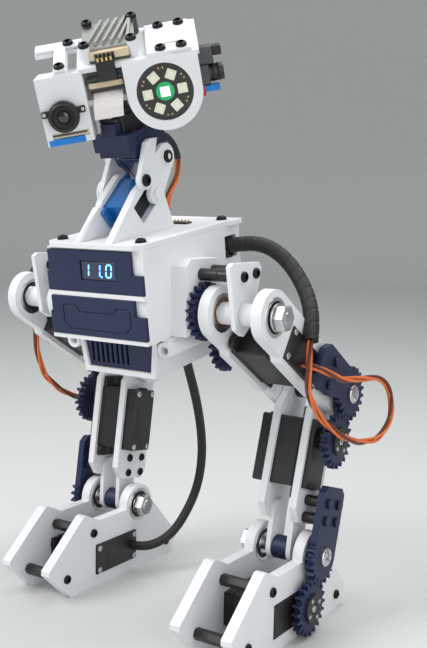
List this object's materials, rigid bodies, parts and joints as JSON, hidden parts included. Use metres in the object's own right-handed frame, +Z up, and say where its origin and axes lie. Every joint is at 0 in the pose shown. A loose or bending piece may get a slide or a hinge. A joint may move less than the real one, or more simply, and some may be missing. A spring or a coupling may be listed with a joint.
{
  "type": "two-legged robot kit",
  "caption": "Hobby robot with geared hip, knee and ankle joints, printed white and navy frame, servos, tilting neck and a panning head with camera and lamp eye.",
  "frame": {"origin": "centre of the bottom of the bounding box, on the floor", "axes": "+Z up, the robot faces -Y, its left side is +X"},
  "size_m": [0.229, 0.172, 0.3477],
  "materials": {
    "white_plastic": "printed, fine layer lines, satin",
    "navy_plastic": "printed, satin navy",
    "black_plastic": "moulded, fine texture",
    "steel": "turned, lightly worn",
    "black_steel": "black oxide, satin",
    "blue_plastic": "moulded, clear blue tint",
    "display": "dark window with lit segments",
    "circuit_board": "dark solder mask with white lamps",
    "cooler": "cast, bead blasted",
    "cable": "spiral wrap and bare leads"
  },
  "bodies": {
    "torso": {"torso_shell": "white_plastic", "torso_lid": "white_plastic", "lid_screws": "black_steel", "upper_front_panel": "navy_plastic", "middle_front_panel": "navy_plastic", "display_module": "display", "lower_frame": "white_plastic", "slat_grille": "navy_plastic", "battery_pack": "black_plastic", "hip_blocks": "white_plastic", "hip_ear_plates": "white_plastic", "hip_spacers": "black_steel", "hip_gears": "navy_plastic", "hip_axles": "steel", "neck_base_plates": "white_plastic", "neck_servo": "blue_plastic", "neck_lead": "cable", "foot_lead": "cable", "hip_loom_left": "cable", "hip_loom_right": "cable"},
    "neck_link": {"neck_links": "white_plastic"},
    "neck_bracket": {"tilt_servo": "blue_plastic", "pan_bracket": "navy_plastic", "pan_servo": "blue_plastic"},
    "head": {"head_chassis": "white_plastic", "camera_module": "black_plastic", "led_eye": "circuit_board", "head_electronics": "cooler"},
    "thigh_left": {"thigh_plates_left": "white_plastic", "thigh_servo_left": "black_plastic", "thigh_bearings_left": "steel", "knee_gear_left": "navy_plastic", "leg_lead_left": "cable"},
    "shin_left": {"shin_plates_left": "white_plastic", "shin_servo_left": "black_plastic", "shin_axles_left": "steel", "ankle_link_left": "navy_plastic"},
    "foot_left": {"foot_plates_left": "white_plastic", "foot_servo_left": "black_plastic", "foot_rods_left": "black_steel", "foot_bearings_left": "steel"},
    "hip_pinion_left": {"hip_pinion_left": "navy_plastic"},
    "knee_pinion_left": {"knee_pinion_left": "navy_plastic"},
    "ankle_pinion_left": {"ankle_pinion_left": "navy_plastic"},
    "thigh_right": {"thigh_plates_right": "white_plastic", "thigh_servo_right": "black_plastic", "thigh_bearings_right": "steel", "knee_gear_right": "navy_plastic", "leg_lead_right": "cable"},
    "shin_right": {"shin_plates_right": "white_plastic", "shin_servo_right": "black_plastic", "shin_axles_right": "steel", "ankle_link_right": "navy_plastic"},
    "foot_right": {"foot_plates_right": "white_plastic", "foot_servo_right": "black_plastic", "foot_rods_right": "black_steel", "foot_bearings_right": "steel"},
    "hip_pinion_right": {"hip_pinion_right": "navy_plastic"},
    "knee_pinion_right": {"knee_pinion_right": "navy_plastic"},
    "ankle_pinion_right": {"ankle_pinion_right": "navy_plastic"}
  },
  "joints": [
    {"name": "hip_left", "type": "hinge", "parent": "torso", "child": "thigh_left", "pos_m": [0, -0.02397, 0.188], "axis": [1, 0, 0], "range_deg": [-60, 20], "deforming": ["hip_loom_left"]},
    {"name": "knee_left", "type": "hinge", "parent": "thigh_left", "child": "shin_left", "pos_m": [0, 0.05564, 0.13616], "axis": [1, 0, 0], "range_deg": [-25, 60]},
    {"name": "ankle_left", "type": "hinge", "parent": "shin_left", "child": "foot_left", "pos_m": [0, 0.02703, 0.044], "axis": [1, 0, 0], "range_deg": [-30, 30]},
    {"name": "hip_pinion_turn_left", "type": "hinge", "parent": "thigh_left", "child": "hip_pinion_left", "pos_m": [0, -0.00137, 0.16827], "axis": [1, 0, 0], "range_deg": [-60, 20]},
    {"name": "knee_pinion_turn_left", "type": "hinge", "parent": "shin_left", "child": "knee_pinion_left", "pos_m": [0, 0.04075, 0.11012], "axis": [1, 0, 0], "range_deg": [-25, 60]},
    {"name": "ankle_pinion_turn_left", "type": "hinge", "parent": "foot_left", "child": "ankle_pinion_left", "pos_m": [0, 0.01295, 0.01751], "axis": [1, 0, 0], "range_deg": [-30, 30]},
    {"name": "hip_right", "type": "hinge", "parent": "torso", "child": "thigh_right", "pos_m": [0, -0.02397, 0.188], "axis": [1, 0, 0], "range_deg": [-60, 20], "deforming": ["hip_loom_right", "foot_lead"]},
    {"name": "knee_right", "type": "hinge", "parent": "thigh_right", "child": "shin_right", "pos_m": [0, 0.05765, 0.13939], "axis": [1, 0, 0], "range_deg": [-25, 60], "deforming": ["foot_lead"]},
    {"name": "ankle_right", "type": "hinge", "parent": "shin_right", "child": "foot_right", "pos_m": [0, 0.04303, 0.044], "axis": [1, 0, 0], "range_deg": [-30, 30], "deforming": ["foot_lead"]},
    {"name": "hip_pinion_turn_right", "type": "hinge", "parent": "thigh_right", "child": "hip_pinion_right", "pos_m": [0, -0.0006, 0.16919], "axis": [1, 0, 0], "range_deg": [-60, 20]},
    {"name": "knee_pinion_turn_right", "type": "hinge", "parent": "shin_right", "child": "knee_pinion_right", "pos_m": [0, 0.04679, 0.11143], "axis": [1, 0, 0], "range_deg": [-25, 60]},
    {"name": "ankle_pinion_turn_right", "type": "hinge", "parent": "foot_right", "child": "ankle_pinion_right", "pos_m": [0, 0.02895, 0.01751], "axis": [1, 0, 0], "range_deg": [-30, 30]},
    {"name": "neck_lower", "type": "hinge", "parent": "torso", "child": "neck_link", "pos_m": [0, -0.03119, 0.25203], "axis": [1, 0, 0], "range_deg": [-15, 15], "deforming": ["neck_lead"]},
    {"name": "neck_upper", "type": "hinge", "parent": "neck_link", "child": "neck_bracket", "pos_m": [0, -0.023, 0.27303], "axis": [1, 0, 0], "range_deg": [-20, 20], "deforming": ["neck_lead"]},
    {"name": "head_pan", "type": "hinge", "parent": "neck_bracket", "child": "head", "pos_m": [0, -0.04722, 0.30467], "axis": [0, -0.3256, 0.9455], "range_deg": [-75, 25]}
  ],
  "couplings": [
    {"joint": "hip_pinion_turn_left", "follows": "hip_left", "ratio": 1},
    {"joint": "knee_pinion_turn_left", "follows": "knee_left", "ratio": 1},
    {"joint": "ankle_pinion_turn_left", "follows": "ankle_left", "ratio": 1},
    {"joint": "hip_pinion_turn_right", "follows": "hip_right", "ratio": 1},
    {"joint": "knee_pinion_turn_right", "follows": "knee_right", "ratio": 1},
    {"joint": "ankle_pinion_turn_right", "follows": "ankle_right", "ratio": 1}
  ]
}
